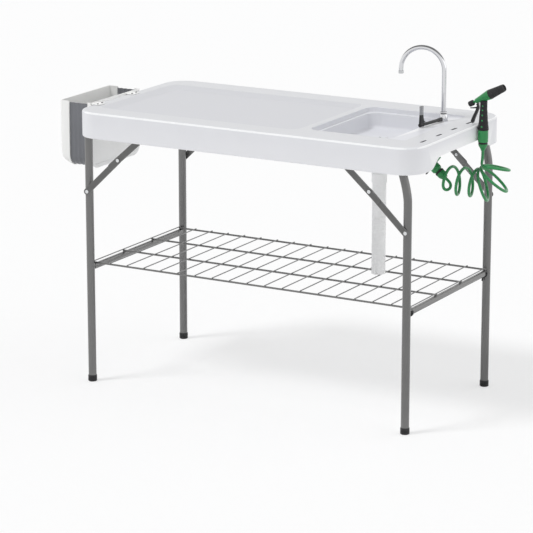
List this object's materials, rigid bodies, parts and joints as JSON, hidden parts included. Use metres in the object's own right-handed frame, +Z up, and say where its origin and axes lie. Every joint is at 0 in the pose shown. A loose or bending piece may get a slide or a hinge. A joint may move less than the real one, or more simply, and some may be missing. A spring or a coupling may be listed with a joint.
{
  "type": "fish cleaning table",
  "caption": "Folding outdoor fish cleaning table with tray, sink, gooseneck faucet, spray gun on a coil hose, drain hose, waste bin and wire shelf.",
  "frame": {"origin": "middle of the table's footprint on the floor, the coil hose left out", "axes": "+X towards the sink end, the long way; +Y from the front to the rear; +Z up"},
  "size_m": [1.3854, 0.61, 1.0833],
  "materials": {
    "moulded_top": "fine grained satin",
    "frame_paint": "satin powder coat",
    "black_plastic": "satin",
    "black_steel": "satin",
    "clear_grip": "glossy, smoky clear",
    "chrome": "polished",
    "steel": "brushed",
    "yellow_plastic": "satin",
    "black_rubber": "matte",
    "white_plastic": "satin",
    "hose_plastic": "satin",
    "green_plastic": "glossy",
    "green_hose": "glossy",
    "gusset_plastic": "matte"
  },
  "bodies": {
    "table": {"table_top": "moulded_top", "faucet_base": "chrome", "faucet_nut": "yellow_plastic", "valve_arm": "black_plastic", "drain_gasket": "black_rubber", "drain_nut": "white_plastic", "gun_body": "green_plastic", "gun_grip": "black_plastic", "gun_collar": "green_plastic", "gun_ring": "black_rubber", "gun_cone": "green_plastic", "inlet_elbow": "black_plastic", "inlet_adaptor": "green_plastic", "inlet_ring": "black_rubber", "inlet_connector": "green_plastic", "coil_hose": "green_hose", "bin_back_plate": "white_plastic", "bin_gusset": "gusset_plastic", "left_pivot_bracket_front": "black_plastic", "left_brace_plate_front": "black_steel", "left_pivot_bracket_rear": "black_plastic", "left_brace_plate_rear": "black_steel", "right_pivot_bracket_front": "black_plastic", "right_brace_plate_front": "black_steel", "right_pivot_bracket_rear": "black_plastic", "right_brace_plate_rear": "black_steel"},
    "left_frame": {"left_leg_front": "frame_paint", "left_leg_rear": "frame_paint", "left_foot_cap_front": "black_plastic", "left_foot_cap_rear": "black_plastic", "left_pivot_bar": "frame_paint", "left_shelf_rail": "frame_paint"},
    "right_frame": {"right_leg_front": "frame_paint", "right_leg_rear": "frame_paint", "right_foot_cap_front": "black_plastic", "right_foot_cap_rear": "black_plastic", "right_pivot_bar": "frame_paint", "right_shelf_rail": "frame_paint", "rack_clip_front": "black_plastic", "rack_clip_rear": "black_plastic"},
    "spout": {"faucet_spout": "chrome", "spout_aerator": "steel"},
    "tap": {"tap_lever": "black_plastic", "lever_grip": "clear_grip"},
    "strainer": {"drain_strainer": "steel"},
    "trigger": {"gun_trigger": "black_plastic"},
    "nozzle": {"gun_nozzle": "black_plastic"},
    "flow_knob": {"gun_flow_knob": "black_plastic"},
    "bin_outer": {"bin_shell": "white_plastic"},
    "hose": {"drain_hose": "hose_plastic"},
    "rack": {"wire_rack": "frame_paint"},
    "left_brace_lower": {"left_brace_lower_front": "frame_paint", "left_brace_lower_rear": "frame_paint"},
    "left_brace_upper": {"left_brace_upper_front": "frame_paint", "left_brace_upper_rear": "frame_paint"},
    "right_brace_lower": {"right_brace_lower_front": "frame_paint", "right_brace_lower_rear": "frame_paint"},
    "right_brace_upper": {"right_brace_upper_front": "frame_paint", "right_brace_upper_rear": "frame_paint"}
  },
  "joints": [
    {"name": "left_frame_fold", "type": "hinge", "parent": "table", "child": "left_frame", "pos_m": [-0.53354, 0, 0.818], "axis": [0, -1, 0], "range_deg": [0, 90]},
    {"name": "right_frame_fold", "type": "hinge", "parent": "table", "child": "right_frame", "pos_m": [0.52946, 0, 0.818], "axis": [0, 1, 0], "range_deg": [0, 90]},
    {"name": "left_brace_lower_turn", "type": "hinge", "parent": "left_frame", "child": "left_brace_lower", "pos_m": [-0.53354, 0, 0.61], "axis": [0, 1, 0], "range_deg": [0, 144]},
    {"name": "left_brace_upper_turn", "type": "hinge", "parent": "table", "child": "left_brace_upper", "pos_m": [-0.31204, 0, 0.813], "axis": [0, -1, 0], "range_deg": [0, 129]},
    {"name": "right_brace_lower_turn", "type": "hinge", "parent": "right_frame", "child": "right_brace_lower", "pos_m": [0.55946, 0, 0.61], "axis": [0, -1, 0], "range_deg": [0, 134]},
    {"name": "right_brace_upper_turn", "type": "hinge", "parent": "table", "child": "right_brace_upper", "pos_m": [0.33796, 0, 0.813], "axis": [0, 1, 0], "range_deg": [0, 131]},
    {"name": "drain_hose_slide", "type": "slide", "parent": "table", "child": "hose", "axis": [-1, 0, 0], "range_m": [0, 0.857]},
    {"name": "rack_slide", "type": "slide", "parent": "hose", "child": "rack", "axis": [1, 0, 0], "range_m": [0, 0.912]},
    {"name": "spout_swivel", "type": "hinge", "parent": "table", "child": "spout", "pos_m": [0.47196, 0.134, 0.8813], "axis": [0, 0, 1], "range_deg": [-120, 120]},
    {"name": "tap_turn", "type": "hinge", "parent": "table", "child": "tap", "pos_m": [0.45696, 0.014, 0.864], "axis": [-0.124, -0.9923, 0], "range_deg": [0, 90]},
    {"name": "strainer_lift", "type": "slide", "parent": "table", "child": "strainer", "axis": [0, 0, 1], "range_m": [0, 0.06]},
    {"name": "trigger_squeeze", "type": "hinge", "parent": "table", "child": "trigger", "pos_m": [0.59478, 0.112, 0.92363], "axis": [0, -1, 0], "range_deg": [0, 12], "stiffness_Nm_per_rad": 0.3},
    {"name": "nozzle_twist", "type": "hinge", "parent": "table", "child": "nozzle", "pos_m": [0.58796, 0.112, 0.932], "axis": [0.8788, 0, 0.4772], "range_deg": [0, 120]},
    {"name": "flow_knob_turn", "type": "hinge", "parent": "table", "child": "flow_knob", "pos_m": [0.58796, 0.112, 0.932], "axis": [0.8788, 0, 0.4772], "range_deg": [0, 270]},
    {"name": "bin_fold", "type": "slide", "parent": "table", "child": "bin_outer", "axis": [1, 0, 0], "range_m": [0, 0.056], "deforming": ["bin_gusset"]}
  ],
  "couplings": [
    {"joint": "left_brace_lower_turn", "follows": "left_frame_fold", "ratio": 1.596},
    {"joint": "left_brace_upper_turn", "follows": "left_frame_fold", "ratio": 1.431},
    {"joint": "right_brace_lower_turn", "follows": "right_frame_fold", "ratio": 1.484},
    {"joint": "right_brace_upper_turn", "follows": "right_frame_fold", "ratio": 1.451},
    {"joint": "drain_hose_slide", "follows": "right_frame_fold", "m_per_rad": 0.545},
    {"joint": "rack_slide", "follows": "left_frame_fold", "m_per_rad": 0.58}
  ]
}
